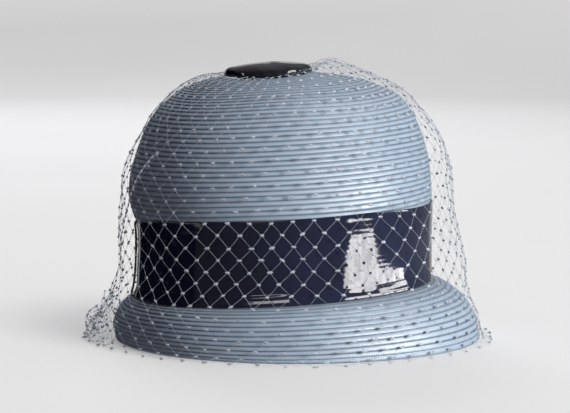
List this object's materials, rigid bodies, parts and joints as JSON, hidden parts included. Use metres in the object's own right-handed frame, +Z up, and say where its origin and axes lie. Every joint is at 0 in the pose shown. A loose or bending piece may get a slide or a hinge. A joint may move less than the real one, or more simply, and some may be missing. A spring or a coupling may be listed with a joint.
{
  "type": "bubble hat with veil",
  "caption": "Blocked straw bubble hat with a deep rounded crown, short downturned brim, wide patent band, domed top button and a loose diamond net veil.",
  "frame": {"origin": "middle of the hat's bounding box, in the plane that the rim of the brim rests on", "axes": "+X towards the front of the hat, +Y towards the wearer's left, +Z up from the rim plane to the top of the crown"},
  "size_m": [0.2524, 0.2062, 0.1749],
  "materials": {
    "straw": "fine ribbed sewn straw braid, dusty slate blue, soft satin sheen",
    "patent": "near-black navy patent with a mirror gloss and small ripples",
    "net": "grey-blue knotted diamond veiling, matt"
  },
  "bodies": {
    "root": {"crown": "straw", "brim": "straw", "band": "patent", "back_tab": "patent", "top_button": "patent", "veil": "net"}
  },
  "joints": []
}
